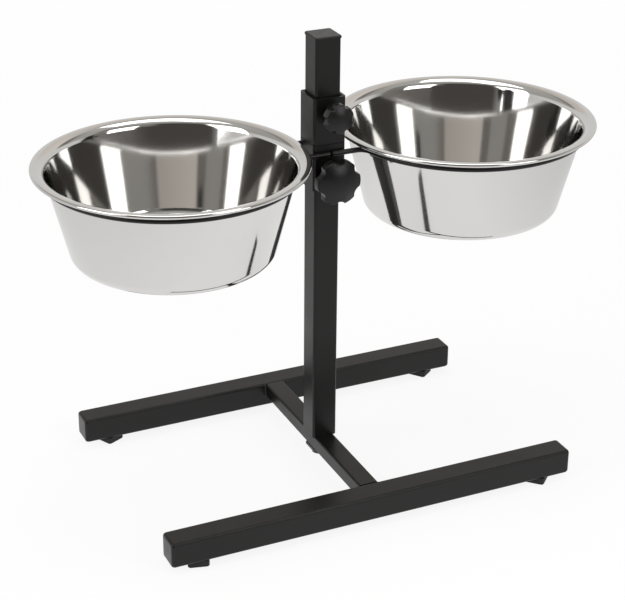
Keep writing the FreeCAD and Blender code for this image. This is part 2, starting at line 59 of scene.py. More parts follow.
# %% [markdown]
# ## Helpers for colour and nodes
# Paint and plastic colours are usually written as sRGB hex values, but a shader wants linear light, so one
# function turns the first into the second. A material is a small graph of nodes, which could also be wired by hand
# in the shader editor. Here one function adds a node, sets its properties and its sockets, and links any socket that
# another node feeds, so that a whole finish can be read from top to bottom.

# %% Colour and node helpers
def linear(hex_colour):
    """sRGB hex text to linear RGBA: small values are divided by 12.92, the rest follow the 2.4 power curve."""
    values = np.array([int(hex_colour[i:i + 2], 16) for i in (1, 3, 5)]) / 255
    curve = np.where(values <= 0.04045, values / 12.92, ((values + 0.055) / 1.055) ** 2.4)
    return (*curve.tolist(), 1.0)


def add_node(tree, kind, sockets=None, **settings):
    """Adds one node. A socket gets a value, or a link if it is given another node's output."""
    node = tree.nodes.new(kind)
    for name, value in settings.items():
        setattr(node, name, value)
    for key, value in (sockets or {}).items():
        if isinstance(value, bpy.types.NodeSocket):
            tree.links.new(value, node.inputs[key])
        else:
            node.inputs[key].default_value = value
    return node


def empty_tree(owner):
    """Turns on the nodes of a material or a world and clears them."""
    owner.use_nodes = True
    owner.node_tree.nodes.clear()
    return owner.node_tree


print("middle grey in linear light:", [round(c, 3) for c in linear("#808080")[:3]])

# %% [markdown]
# ## The camera
# The picture is taken from the front left and a little above with a fairly long lens, so upright edges stay
# nearly upright. The numbers come from lining up the edges of the legs, the post and the rims. A Track To
# constraint could aim the camera too, but it would hold it level, and this one is rolled by about half a degree. A
# camera looks along its own -Z, so its matrix is built from three directions: right, up and backwards.

# %% Camera
AZIMUTH, ELEVATION, ROLL = np.radians([-24.8, 25.43, 0.43])
DISTANCE = 1.712
TARGET = np.array([-0.0085, 0.0, 0.1768])
PICTURE_WIDTH, FOCAL_PIXELS = 625, 1788.5
SENSOR_WIDTH = 36.0

ahead = np.array([-math.sin(AZIMUTH) * math.cos(ELEVATION),
                  math.cos(AZIMUTH) * math.cos(ELEVATION), -math.sin(ELEVATION)])
level = np.array([math.cos(AZIMUTH), math.sin(AZIMUTH), 0.0])
over = np.cross(level, ahead)
matrix = np.eye(4)
matrix[:3, 0] = level * math.cos(ROLL) + over * math.sin(ROLL)
matrix[:3, 1] = over * math.cos(ROLL) - level * math.sin(ROLL)
matrix[:3, 2] = -ahead
matrix[:3, 3] = TARGET - ahead * DISTANCE

camera = bpy.data.objects.new("camera", bpy.data.cameras.new("camera"))
camera.data.sensor_fit = "HORIZONTAL"
camera.data.sensor_width = SENSOR_WIDTH
camera.data.lens = SENSOR_WIDTH * FOCAL_PIXELS / PICTURE_WIDTH
camera.matrix_world = Matrix(matrix.tolist())
bpy.context.collection.objects.link(camera)
scene = bpy.context.scene
scene.camera = camera
print("lens, mm:", round(camera.data.lens, 1), " eye, mm:", np.round(matrix[:3, 3] / MM))

# %% [markdown]
# ## The studio
# Polished steel has no colour of its own: it shows the room. A product photograph of steel is therefore mostly a
# choice of what stands around it. Here that is a white floor, a sheet of warm white paper hung behind, two large
# softboxes, a soft light overhead, grey walls at the sides and a dark end of the room behind the camera. Walls and
# paper could be built as meshes, but they would stand in the way of every other view. So the room is painted on the
# sky: a ramp of colours round the compass, with a pale ceiling above.

# %% Room
scene.view_settings.view_transform = "Standard"
DARK, SHADE, GREY, SWEEP, CEILING = "#4e4b48", "#8a8682", "#b3b1ad", "#e5e4e3", "#bfbdb9"
PAPER_LEFT, PAPER_RIGHT = "#d2ccc5", "#ece5de"
# Heights as the sine of a direction's elevation: where the sweep fades into the walls, and the walls into the ceiling
SWEEP_TOP, WALL_TOP = (0.36, 0.45), (0.66, 0.86)
# Compass angles in degrees from +Y towards +X, from the dark end of the room round to it again
walls = ((-180, SHADE), (-170, DARK), (-122, DARK), (-112, GREY), (-32, GREY), (-12, SHADE), (-8, PAPER_LEFT),
         (69, PAPER_RIGHT), (72, SHADE), (86, SHADE), (90, GREY), (120, GREY), (124, SHADE), (180, SHADE))
# Near the horizon the floor's white sweep rises in front of the walls, but not at the camera's end of the room
horizon = ((-180, DARK), (-122, DARK), (-112, GREY), (-70, SWEEP), (105, SWEEP), (124, SHADE), (180, DARK))

world = bpy.data.worlds.new("studio")
scene.world = world
tree = empty_tree(world)
direction = add_node(tree, "ShaderNodeTexCoord")
parts = add_node(tree, "ShaderNodeSeparateXYZ", {"Vector": direction.outputs["Generated"]})
compass = add_node(tree, "ShaderNodeMath", {0: parts.outputs["X"], 1: parts.outputs["Y"]}, operation="ARCTAN2")
share = add_node(tree, "ShaderNodeMapRange", {"Value": compass.outputs[0], "From Min": -math.pi, "From Max": math.pi})
belts = []
for stops in (horizon, walls):
    belt = add_node(tree, "ShaderNodeValToRGB", {"Fac": share.outputs["Result"]})
    while len(belt.color_ramp.elements) < len(stops):
        belt.color_ramp.elements.new(0.5)
    for element, (angle, colour) in zip(belt.color_ramp.elements, stops):
        element.position = (angle + 180) / 360
        element.color = linear(colour)
    belts.append(belt.outputs["Color"])
raised = add_node(tree, "ShaderNodeMapRange", {"Value": parts.outputs["Z"], "From Min": SWEEP_TOP[0],
                                               "From Max": SWEEP_TOP[1]})
room = add_node(tree, "ShaderNodeMix", {"Factor": raised.outputs["Result"], "A": belts[0], "B": belts[1]},
                data_type="RGBA")
high = add_node(tree, "ShaderNodeMapRange", {"Value": parts.outputs["Z"], "From Min": WALL_TOP[0],
                                             "From Max": WALL_TOP[1]})
enclosed = add_node(tree, "ShaderNodeMix", {"Factor": high.outputs["Result"], "A": room.outputs["Result"],
                                            "B": linear(CEILING)}, data_type="RGBA")
print("stops round the compass:", len(horizon), "and", len(walls))

# %% [markdown]
# ## What each kind of ray sees
# The steel needs that room, but the picture needs a white background, and the black tubes need an even light. One
# sky gives all three, because a shader can ask what kind of ray has met it. The camera sees plain white, shiny
# surfaces see the room, and matt surfaces get an even fill.

# %% Sky
FILL = 0.5
rays = add_node(tree, "ShaderNodeLightPath")
seen = add_node(tree, "ShaderNodeMath", {0: rays.outputs["Is Camera Ray"], 1: rays.outputs["Is Transmission Ray"]},
                operation="MAXIMUM")
fill = add_node(tree, "ShaderNodeBackground", {"Color": linear("#ffffff"), "Strength": FILL})
reflected = add_node(tree, "ShaderNodeBackground", {"Color": enclosed.outputs["Result"], "Strength": 1.0})
white = add_node(tree, "ShaderNodeBackground", {"Color": linear("#ffffff"), "Strength": 1.0})
for_shiny = add_node(tree, "ShaderNodeMixShader",
                     {0: rays.outputs["Is Glossy Ray"], 1: fill.outputs[0], 2: reflected.outputs[0]})
sky = add_node(tree, "ShaderNodeMixShader", {0: seen.outputs[0], 1: for_shiny.outputs[0], 2: white.outputs[0]})
add_node(tree, "ShaderNodeOutputWorld", {"Surface": sky.outputs[0]})
world.cycles.sampling_method = "NONE"  # only rays that really meet the sky count, so each kind of ray sees its own
print("even fill on matt surfaces:", FILL)

# %% [markdown]
# ## The lamps
# A softbox is a lamp behind a sheet of white cloth. Two large ones stand at the front left and the front right, and
# their mirror images are the long white bars inside the bowls. A third one hangs overhead and lights the tops. A
# glowing sheet would give the same mirror image, but the renderer aims rays at an area lamp, so its light has less
# noise.

# %% Softboxes
def softbox(name, place, aim, size, watts):
    """A rectangular lamp at place that faces aim; its -Z points along the line between them."""
    data = bpy.data.lights.new(name, "AREA")
    data.shape = "RECTANGLE"
    data.size, data.size_y = size
    data.energy = watts
    lamp = bpy.data.objects.new(name, data)
    back = np.array(place) - np.array(aim)
    back = back / np.linalg.norm(back)
    # An upright is crossed with the lamp's axis to get its level side, or +Y for a lamp that hangs overhead
    side = np.cross([0.0, 0.0, 1.0] if abs(back[2]) < 0.99 else [0.0, 1.0, 0.0], back)
    side = side / np.linalg.norm(side)
    turn = np.eye(4)
    turn[:3, 0], turn[:3, 1], turn[:3, 2], turn[:3, 3] = side, np.cross(back, side), back, place
    lamp.matrix_world = Matrix(turn.tolist())
    bpy.context.collection.objects.link(lamp)
    brightness = watts / (math.pi * size[0] * size[1])
    print(f"{name}: brightness {brightness:.1f}")


RIMS = (0.0, 0.0, 0.33)
softbox("left_softbox", (-1.97, -0.29, 1.26), RIMS, (1.22, 1.56), 18)
softbox("right_softbox", (0.70, -1.57, 1.13), RIMS, (0.95, 1.0), 9)
softbox("overhead_softbox", (0.0, 0.1, 2.4), RIMS, (1.8, 1.2), 18)

# %% [markdown]
# ## The floor
# A studio sweep is a sheet of paper that curves up behind the object, but that works from one side only. A wide flat
# sheet that fades to white with distance looks the same from every side. It lies a fraction of a millimetre below the
# feet, so that their soles and the paper never share a plane.

# %% Floor
FLOOR_SIZE, FLOOR_GAP = 14.0, 0.4 * MM
corner_signs = np.array([[-1, -1, 0], [1, -1, 0], [1, 1, 0], [-1, 1, 0]], float)
floor_mesh = bpy.data.meshes.new("floor")
floor_points = corner_signs * FLOOR_SIZE / 2 - [0, 0, FLOOR_GAP]
floor_mesh.from_pydata(floor_points.tolist(), [], [[0, 1, 2, 3]])
floor = bpy.data.objects.new("floor", floor_mesh)
bpy.context.collection.objects.link(floor)
print("floor:", FLOOR_SIZE, "m square")

# %% [markdown]
# ## White paper
# The paper's own matt colour takes the shadow of the feeder, and a share of plain white is added for the rays that
# look at it, so it reads as a white studio floor both directly and in the steel. Stronger lamps could make it white
# too, but they would bleach the feeder with it. The share grows with the distance from the feeder, so the floor runs
# into the white behind it without an edge.

# %% Paper
# The share of plain white near the feeder, and the distances in metres over which it grows to the whole
WHITE_SHARE, WHITE_FROM, WHITE_TO = 0.88, 0.4, 2.0
# Painted shade on the glowing paper, seen only by the steel: dimmer by this share away from the lamps, between these
# distances
PAINTED_PAPER_SHADE, FALL_FROM, FALL_TO = 0.35, 0.35, 0.9
paper = bpy.data.materials.new("white_paper_sweep")
tree = empty_tree(paper)
rays = add_node(tree, "ShaderNodeLightPath")
looked_at = add_node(tree, "ShaderNodeMath", {0: rays.outputs["Is Camera Ray"], 1: rays.outputs["Is Glossy Ray"]},
                     operation="MAXIMUM")
looked_at = add_node(tree, "ShaderNodeMath", {0: looked_at.outputs[0], 1: rays.outputs["Is Transmission Ray"]},
                     operation="MAXIMUM")
place = add_node(tree, "ShaderNodeTexCoord").outputs["Object"]
away = add_node(tree, "ShaderNodeVectorMath", {0: place}, operation="LENGTH")
white_part = add_node(tree, "ShaderNodeMapRange",
                      {"Value": away.outputs["Value"], "From Min": WHITE_FROM, "From Max": WHITE_TO,
                       "To Min": WHITE_SHARE, "To Max": 1.0})
share = add_node(tree, "ShaderNodeMath", {0: looked_at.outputs[0], 1: white_part.outputs["Result"]},
                 operation="MULTIPLY")
matt = add_node(tree, "ShaderNodeBsdfDiffuse", {"Color": linear("#fafaf9")})
painted_paper_shade = add_node(tree, "ShaderNodeMapRange",
                  {"Value": away.outputs["Value"], "From Min": FALL_FROM, "From Max": FALL_TO,
                   "To Min": 0.0, "To Max": PAINTED_PAPER_SHADE})
# Painted shade: only glossy rays see the paper's glow dimmed with distance, standing in for the lamps' fall-off
painted_paper_shade = add_node(tree, "ShaderNodeMath", {0: painted_paper_shade.outputs["Result"], 1: rays.outputs["Is Glossy Ray"]},
                  operation="MULTIPLY")
bright = add_node(tree, "ShaderNodeMath", {0: 1.0, 1: painted_paper_shade.outputs[0]}, operation="SUBTRACT")
glow = add_node(tree, "ShaderNodeEmission", {"Color": linear("#ffffff"), "Strength": bright.outputs[0]})
surface = add_node(tree, "ShaderNodeMixShader", {0: share.outputs[0], 1: matt.outputs[0], 2: glow.outputs[0]})
add_node(tree, "ShaderNodeOutputMaterial", {"Surface": surface.outputs[0]})
floor_mesh.materials.append(paper)
print("made:", paper.name, "with a share of plain white of", WHITE_SHARE)

# %% [markdown]
# ## Black powder coat
# The tubes, sleeves, nuts and wire are coated with a black powder that melts into a skin in the oven. The skin is
# satin, not glossy, and it sets with a faint orange peel of about a millimetre. A noise at that size bumps the
# surface, and a slower one varies the roughness a little, as uneven coats do. The peel could be modelled, but it is
# so shallow that it only shows as a tremble in the reflections, and a bump is enough for that.

# %% Powder coat
PEEL_WIDTH, PEEL_DEPTH, COAT_WIDTH = 1.1 * MM, 0.03 * MM, 35 * MM
powder_coat = bpy.data.materials.new("satin_black_powder_coat")
tree = empty_tree(powder_coat)
place = add_node(tree, "ShaderNodeTexCoord").outputs["Object"]
peel = add_node(tree, "ShaderNodeTexNoise", {"Vector": place, "Scale": 1 / PEEL_WIDTH, "Detail": 1.0})
uneven = add_node(tree, "ShaderNodeTexNoise", {"Vector": place, "Scale": 1 / COAT_WIDTH, "Detail": 2.0})
# A warm near-black: most of what the eye gets from it is the soft reflection
tone = add_node(tree, "ShaderNodeMix", {"Factor": uneven.outputs["Fac"], "A": linear("#0d0d0c"),
                                        "B": linear("#131211")}, data_type="RGBA")
satin = add_node(tree, "ShaderNodeMapRange", {"Value": uneven.outputs["Fac"], "From Min": 0.3, "From Max": 0.7,
                                              "To Min": 0.33, "To Max": 0.41})
tilt = add_node(tree, "ShaderNodeBump", {"Height": peel.outputs["Fac"], "Distance": PEEL_DEPTH})
skin = add_node(tree, "ShaderNodeBsdfPrincipled",
                {"Base Color": tone.outputs["Result"], "Roughness": satin.outputs["Result"],
                 "Normal": tilt.outputs["Normal"], "IOR": 1.5,
                 "Specular IOR Level": 0.33})  # the pores of a cured powder swallow about a third of the gloss
add_node(tree, "ShaderNodeOutputMaterial", {"Surface": skin.outputs[0]})
print("made:", powder_coat.name)

# %% [markdown]
# ## Moulded plastic
# Knobs and end caps are moulded from black plastic. The mould is finely spark-eroded, so the skin has a grain a
# few tenths of a millimetre wide and a soft gloss. The grain is a noise on Object coordinates: unlike a pattern on a
# UV map, it has no seams and keeps its size from piece to piece.

# %% Plastic
# The real grain is 0.2 mm wide, too fine for the picture, so it is drawn three times as wide
MOULD_WIDTH, MOULD_DEPTH, TOUCH_WIDTH = 0.6 * MM, 0.01 * MM, 9 * MM
black_plastic = bpy.data.materials.new("moulded_black_plastic")
tree = empty_tree(black_plastic)
place = add_node(tree, "ShaderNodeTexCoord").outputs["Object"]
# A neutral black with a soft gloss, a little shinier where fingers have been
grain = add_node(tree, "ShaderNodeTexNoise", {"Vector": place, "Scale": 1 / MOULD_WIDTH, "Detail": 2.0})
handled = add_node(tree, "ShaderNodeTexNoise", {"Vector": place, "Scale": 1 / TOUCH_WIDTH, "Detail": 2.0})
tone = add_node(tree, "ShaderNodeMix", {"Factor": handled.outputs["Fac"], "A": linear("#111111"),
                                        "B": linear("#171717")}, data_type="RGBA")
gloss = add_node(tree, "ShaderNodeMapRange", {"Value": handled.outputs["Fac"], "From Min": 0.3, "From Max": 0.7,
                                              "To Min": 0.28, "To Max": 0.36})
tilt = add_node(tree, "ShaderNodeBump", {"Height": grain.outputs["Fac"], "Distance": MOULD_DEPTH})
skin = add_node(tree, "ShaderNodeBsdfPrincipled",
                {"Base Color": tone.outputs["Result"], "Roughness": gloss.outputs["Result"],
                 "Normal": tilt.outputs["Normal"], "IOR": 1.49,
                 "Specular IOR Level": 0.32})  # the grain of the mould takes about a third of the gloss
add_node(tree, "ShaderNodeOutputMaterial", {"Surface": skin.outputs[0]})
print("made:", black_plastic.name)

# %% [markdown]
# ## Rubber
# The feet are rubber: duller than the plastic, and dust clings to them. A second black without gloss would look like
# soot, so a coarse noise stands for the dust and makes the rubber greyer and duller in the same places.

# %% Rubber
RUBBER_WIDTH, RUBBER_DEPTH, DUST_WIDTH = 0.8 * MM, 0.02 * MM, 4 * MM
black_rubber = bpy.data.materials.new("dull_black_rubber")
tree = empty_tree(black_rubber)
place = add_node(tree, "ShaderNodeTexCoord").outputs["Object"]
# A dull black without any clear reflection, greyer where dust clings to it
grain = add_node(tree, "ShaderNodeTexNoise", {"Vector": place, "Scale": 1 / RUBBER_WIDTH, "Detail": 2.0})
dust = add_node(tree, "ShaderNodeTexNoise", {"Vector": place, "Scale": 1 / DUST_WIDTH, "Detail": 4.0})
tone = add_node(tree, "ShaderNodeMix", {"Factor": dust.outputs["Fac"], "A": linear("#131212"),
                                        "B": linear("#1f1e1d")}, data_type="RGBA")
dull = add_node(tree, "ShaderNodeMapRange", {"Value": dust.outputs["Fac"], "From Min": 0.3, "From Max": 0.7,
                                             "To Min": 0.66, "To Max": 0.82})
tilt = add_node(tree, "ShaderNodeBump", {"Height": grain.outputs["Fac"], "Distance": RUBBER_DEPTH})
skin = add_node(tree, "ShaderNodeBsdfPrincipled",
                {"Base Color": tone.outputs["Result"], "Roughness": dull.outputs["Result"],
                 "Normal": tilt.outputs["Normal"], "IOR": 1.52})
add_node(tree, "ShaderNodeOutputMaterial", {"Surface": skin.outputs[0]})
print("made:", black_rubber.name)

# %% [markdown]
# ## Zinc plate
# The foot screws and the clamp studs are zinc-plated: a bluish, slightly cloudy bright metal. A grey paint would look
# dead beside it. In a fully metallic shader the colour is that of the reflections, and a noise clouds both the
# colour and their sharpness.

# %% Zinc plate
CRYSTAL_WIDTH, CRYSTAL_DEPTH, CLOUD_WIDTH = 0.5 * MM, 0.006 * MM, 2.5 * MM
zinc_plate = bpy.data.materials.new("bright_zinc_plate")
tree = empty_tree(zinc_plate)
place = add_node(tree, "ShaderNodeTexCoord").outputs["Object"]
# A cool bright metal whose reflections are blurred by fine crystals
grain = add_node(tree, "ShaderNodeTexNoise", {"Vector": place, "Scale": 1 / CRYSTAL_WIDTH, "Detail": 2.0})
cloud = add_node(tree, "ShaderNodeTexNoise", {"Vector": place, "Scale": 1 / CLOUD_WIDTH, "Detail": 3.0})
tone = add_node(tree, "ShaderNodeMix", {"Factor": cloud.outputs["Fac"], "A": linear("#b9bcc0"),
                                        "B": linear("#d3d4d6")}, data_type="RGBA")
haze = add_node(tree, "ShaderNodeMapRange", {"Value": cloud.outputs["Fac"], "From Min": 0.3, "From Max": 0.7,
                                             "To Min": 0.24, "To Max": 0.36})
tilt = add_node(tree, "ShaderNodeBump", {"Height": grain.outputs["Fac"], "Distance": CRYSTAL_DEPTH})
plate = add_node(tree, "ShaderNodeBsdfPrincipled",
                 {"Base Color": tone.outputs["Result"], "Roughness": haze.outputs["Result"],
                  "Normal": tilt.outputs["Normal"], "Metallic": 1.0})
add_node(tree, "ShaderNodeOutputMaterial", {"Surface": plate.outputs[0]})
print("made:", zinc_plate.name)

# %% [markdown]
# ## Blackened steel
# The bolt under the post and its washer are blackened in hot oil. What the eye meets is the oxide and not the metal
# below it, so this shader isn't metallic: a dark colour with a modest shine, uneven where tools have touched it.

# %% Blackened steel
OXIDE_WIDTH = 3 * MM
blackened_steel = bpy.data.materials.new("blackened_steel_bolt")
tree = empty_tree(blackened_steel)
place = add_node(tree, "ShaderNodeTexCoord").outputs["Object"]
worn = add_node(tree, "ShaderNodeTexNoise", {"Vector": place, "Scale": 1 / OXIDE_WIDTH, "Detail": 3.0})
# A thin dark oxide that still shines a little
tone = add_node(tree, "ShaderNodeMix", {"Factor": worn.outputs["Fac"], "A": linear("#141414"),
                                        "B": linear("#262524")}, data_type="RGBA")
dull = add_node(tree, "ShaderNodeMapRange", {"Value": worn.outputs["Fac"], "From Min": 0.3, "From Max": 0.7,
                                             "To Min": 0.38, "To Max": 0.52})
oxide = add_node(tree, "ShaderNodeBsdfPrincipled",
                 {"Base Color": tone.outputs["Result"], "Roughness": dull.outputs["Result"], "IOR": 1.6})
add_node(tree, "ShaderNodeOutputMaterial", {"Surface": oxide.outputs[0]})
print("made:", blackened_steel.name)

# %% [markdown]
# ## Polished stainless steel
# The bowls are spun from stainless sheet and buffed while they turn, so their faint polishing lines run round and
# round. A noise on Object coordinates can't follow them round a bowl. They are drawn on the bowl's own UV map: long
# on its first axis, which runs round the bowl, and close together on its second, which runs along the profile.

# %% Stainless steel
# Buffing lines are 0.05 mm apart; they are drawn 0.5 mm apart so that the picture can hold them
LINE_WIDTH, LINES_PER_TURN, SMUDGE_WIDTH = 0.5 * MM, 6.0, 45 * MM
# Drawn sheet is never quite even: a slow swell of a few hundredths of a millimetre bends the reflections
SHEET_SWELL, SWELL_WIDTH = 0.06 * MM, 30 * MM
polished_steel = bpy.data.materials.new("mirror_polished_stainless_steel")
tree = empty_tree(polished_steel)
place = add_node(tree, "ShaderNodeTexCoord").outputs["Object"]
way = add_node(tree, "ShaderNodeUVMap", uv_map="surface")
# A mirror with a breath of haze: it shows the room, softened across the buffing lines
lines = add_node(tree, "ShaderNodeMapping", {"Vector": way.outputs["UV"],
                                             "Scale": (LINES_PER_TURN, 1 / LINE_WIDTH, 1.0)})
buffing = add_node(tree, "ShaderNodeTexNoise", {"Vector": lines.outputs["Vector"], "Scale": 1.0, "Detail": 3.0})
smudge = add_node(tree, "ShaderNodeTexNoise", {"Vector": place, "Scale": 1 / SMUDGE_WIDTH, "Detail": 3.0})
tone = add_node(tree, "ShaderNodeMix", {"Factor": smudge.outputs["Fac"], "A": linear("#d3d2d0"),
                                        "B": linear("#d7d6d4")}, data_type="RGBA")
polish = add_node(tree, "ShaderNodeMapRange", {"Value": buffing.outputs["Fac"], "From Min": 0.3, "From Max": 0.7,
                                               "To Min": 0.06, "To Max": 0.09})
swell = add_node(tree, "ShaderNodeTexNoise", {"Vector": place, "Scale": 1 / SWELL_WIDTH, "Detail": 0.0})
tilt = add_node(tree, "ShaderNodeBump", {"Height": swell.outputs["Fac"], "Distance": SHEET_SWELL})
mirror = add_node(tree, "ShaderNodeBsdfPrincipled",
                  {"Base Color": tone.outputs["Result"], "Roughness": polish.outputs["Result"],
                   "Normal": tilt.outputs["Normal"], "Metallic": 1.0})
add_node(tree, "ShaderNodeOutputMaterial", {"Surface": mirror.outputs[0]})
print("made:", polished_steel.name)

# %% [markdown]
# ## Dress the pieces of the frame
# Tubes, sleeves, nuts, feet, screws and the post's cap have the right shape already, so they stay as they are and
# only get their finish. That could be done one by one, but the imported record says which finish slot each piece
# belongs to, so a loop can dress them all.

# %% Finishes by slot
finish_of_slot = {"powder_coat": powder_coat, "black_plastic": black_plastic, "black_rubber": black_rubber,
                  "zinc_steel": zinc_plate, "polished_steel": polished_steel}
for part in frame["record"]["subparts"]:
    mesh = nodes[part["node"]].data
    mesh.materials.clear()
    mesh.materials.append(finish_of_slot[part["material_slot"]])
# The bolt and the washer under the cross bar are not bright zinc but as dark as the tubes they hold
for name in ("post_bolt", "post_washer"):
    nodes[name].data.materials[0] = blackened_steel

# %% [markdown]
# ## One way to make every smooth piece
# Bowls, wire, weld beads, plugs, knobs and studs all close on themselves in one direction, so each is a grid of
# points: rows along the shape, columns round it. Screw, Bevel and Boolean modifiers could each make one of them, but
# a grid does for all, and its even four-sided faces keep reflections clean. The columns close on themselves, and
# the first and last row close in a point. A UV map goes with it, with metres along the rows.

# %% Faces and UV map of a grid
def grid_faces(rows, columns):
    """Four-sided faces between neighbouring points, and a fan of triangles from each end row to its middle."""
    number = np.arange(rows * columns).reshape(rows, columns)
    beside = np.roll(number, -1, axis=1)
    quads = np.stack([number[:-1], beside[:-1], beside[1:], number[1:]], axis=-1).reshape(-1, 4)
    first = np.stack([beside[0], number[0], np.full(columns, rows * columns)], axis=-1)
    last = np.stack([number[-1], beside[-1], np.full(columns, rows * columns + 1)], axis=-1)
    return quads, np.concatenate([first, last])


def grid_uv(grid):
    """Share of the turn and distance along the rows, kept per face corner so that the seam stays clean."""
    columns = grid.shape[1]
    step = np.linalg.norm(np.diff(grid, axis=0), axis=2).mean(axis=1)
    along = np.concatenate([[0], np.cumsum(step)])
    turn = np.arange(columns + 1) / columns
    low, high = np.meshgrid(along[:-1], turn[:-1], indexing="ij"), np.meshgrid(along[1:], turn[1:], indexing="ij")
    quad_uv = np.stack([np.stack([low[1], low[0]], -1), np.stack([high[1], low[0]], -1),
                        np.stack([high[1], high[0]], -1), np.stack([low[1], high[0]], -1)], axis=2).reshape(-1, 4, 2)
    middle = (turn[:-1] + turn[1:]) / 2
    first_uv = np.stack([turn[1:], turn[:-1], middle], -1)
    first_uv = np.stack([first_uv, np.zeros_like(first_uv)], -1)
    last_uv = np.stack([turn[:-1], turn[1:], middle], -1)
    last_uv = np.stack([last_uv, np.full_like(last_uv, along[-1])], -1)
    return quad_uv, np.concatenate([first_uv, last_uv])


print("faces of a grid of 3 rows and 4 columns:", [len(faces) for faces in grid_faces(3, 4)])

# %% [markdown]
# ## From a grid to a piece
# A piece is one mesh that rides on a body of the frame, takes its finish from a slot, and may stand for a packed
# node. Normals could be recalculated in Edit Mode, but the sign of the volume already tells which way the faces look.

# %% Grid to piece
def grid_piece(name, grid_mm, body, slot, replaced=None, crease=40):
    """One closed mesh from a grid; if its signed volume is negative, its faces look inwards and are turned."""
    grid = np.asarray(grid_mm, float) * MM
    points = np.concatenate([grid.reshape(-1, 3), grid[[0, -1]].mean(axis=1)])
    quads, fans = grid_faces(*grid.shape[:2])
    quad_uv, fan_uv = grid_uv(grid)
    triangles = np.concatenate([quads[:, [0, 1, 2]], quads[:, [0, 2, 3]], fans])
    corners = points[triangles]
    volume = np.einsum("ij,ij->i", corners[:, 0], np.cross(corners[:, 1], corners[:, 2])).sum() / 6
    if volume < 0:
        quads, fans, quad_uv, fan_uv = (faces[:, ::-1] for faces in (quads, fans, quad_uv, fan_uv))
    mesh = bpy.data.meshes.new(name)
    mesh.from_pydata(points.tolist(), [], quads.tolist() + fans.tolist())
    uv = np.concatenate([quad_uv.reshape(-1, 2), fan_uv.reshape(-1, 2)])
    mesh.uv_layers.new(name="surface").data.foreach_set("uv", uv.astype(np.float32).ravel())
    mesh.polygons.foreach_set("use_smooth", np.ones(len(mesh.polygons), bool))
    mesh.set_sharp_from_angle(angle=math.radians(crease))
    mesh.materials.append(finish_of_slot[slot])
    piece = bpy.data.objects.new(name, mesh)
    bpy.context.collection.objects.link(piece)
    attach(piece, body)
    if replaced:
        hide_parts(replaced)
    print(f"{name}: {len(mesh.polygons)} faces, {abs(volume) / MM ** 3:.0f} cubic mm")

# %% [markdown]
# ## The bowls
# Each bowl is drawn from one sheet: a flat floor, a soft corner, a wall that leans out, a small shoulder, a flat
# brim, and a bead rolled at its edge. A single line with a Solidify modifier comes near it, but can't close the bead.
# So the profile is drawn as radius and height, in arcs and straight runs, along the outside up to the bead and back
# along the inside.

# %% Bowl profile
def arc(centre, radius, start, end, count):
    """Points on a circle: centre plus radius times cosine and sine, for count angles from start to end in degrees."""
    angle = np.radians(np.linspace(start, end, count))
    return np.stack([centre[0] + radius * np.cos(angle), centre[1] + radius * np.sin(angle)], axis=-1)


def run(start, end, count):
    """Points on a straight line, closer together near both ends, where it meets a bend."""
    share = (1 - np.cos(np.linspace(0, math.pi, count))) / 2
    return np.array(start) + share[:, None] * (np.array(end) - np.array(start))


FOOT_RADIUS, MOUTH_RADIUS, BOWL_HEIGHT, SHEET = 92.0, 114.35, 91.0, 0.7
CORNER, SHOULDER, BRIM_END, BEAD = 13.0, 9.0, 123.7, 1.8
POLE, BOWL_COLUMNS = 2.0, 320  # the rows of the floor end this far from the axis, and a point closes them
slope = (MOUTH_RADIUS - FOOT_RADIUS) / (BOWL_HEIGHT - SHEET)
lean = math.degrees(math.atan(slope))
stretch = math.sqrt(1 + slope ** 2)
corner_at = (FOOT_RADIUS + slope * CORNER - stretch * CORNER, CORNER)
shoulder_height = BOWL_HEIGHT - SHEET - SHOULDER
shoulder_at = (FOOT_RADIUS + slope * shoulder_height + stretch * SHOULDER, shoulder_height)
bead_at = (BRIM_END, BOWL_HEIGHT - BEAD)
bead_start = 180 - math.degrees(math.asin((BEAD - SHEET) / BEAD))

corner_out = arc(corner_at, CORNER, -90, -lean, 22)
shoulder_out = arc(shoulder_at, SHOULDER, 180 - lean, 90, 14)
bead_round = arc(bead_at, BEAD, bead_start, 450, 30)
shoulder_in = arc(shoulder_at, SHOULDER + SHEET, 90, 180 - lean, 16)
corner_in = arc(corner_at, CORNER - SHEET, -lean, -90, 24)
bowl_profile = np.concatenate([
    run((POLE, 0.0), corner_out[0], 14)[:-1], corner_out, run(corner_out[-1], shoulder_out[0], 26)[1:-1],
    shoulder_out, run(shoulder_out[-1], bead_round[0], 6)[1:-1], bead_round,
    run(bead_round[-1], shoulder_in[0], 8)[1:-1], shoulder_in, run(shoulder_in[-1], corner_in[0], 30)[1:-1],
    corner_in, run(corner_in[-1], (POLE, SHEET), 20)[1:]])
print("profile points:", len(bowl_profile), " wall leans out by", round(lean, 1), "degrees")

# %% [markdown]
# ## Turning the profile
# A bowl is spun on a lathe, so its surface is the profile turned round an upright axis. The Screw modifier does the
# same, but a formula gives the rows and columns that the UV map of the buffing lines needs. The box of each packed
# bowl gives the place of its foot.

# %% Bowls
def turned(profile, centre, columns):
    """Turns a profile round an upright axis: x and y are radius times cosine and sine, z is height."""
    angle = np.linspace(0, 2 * math.pi, columns, endpoint=False)
    radius, height = profile[:, :1], profile[:, 1:]
    return np.stack([centre[0] + radius * np.cos(angle), centre[1] + radius * np.sin(angle),
                     centre[2] + height + 0 * angle], axis=-1)


for side in ("left", "right"):
    low, high = (np.array(corner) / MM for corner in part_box(side + "_bowl"))
    foot = ((low[0] + high[0]) / 2, (low[1] + high[1]) / 2, low[2])
    grid_piece(side + "_steel_bowl", turned(bowl_profile, foot, BOWL_COLUMNS), side + "_bowl", "polished_steel",
               side + "_bowl", crease=30)

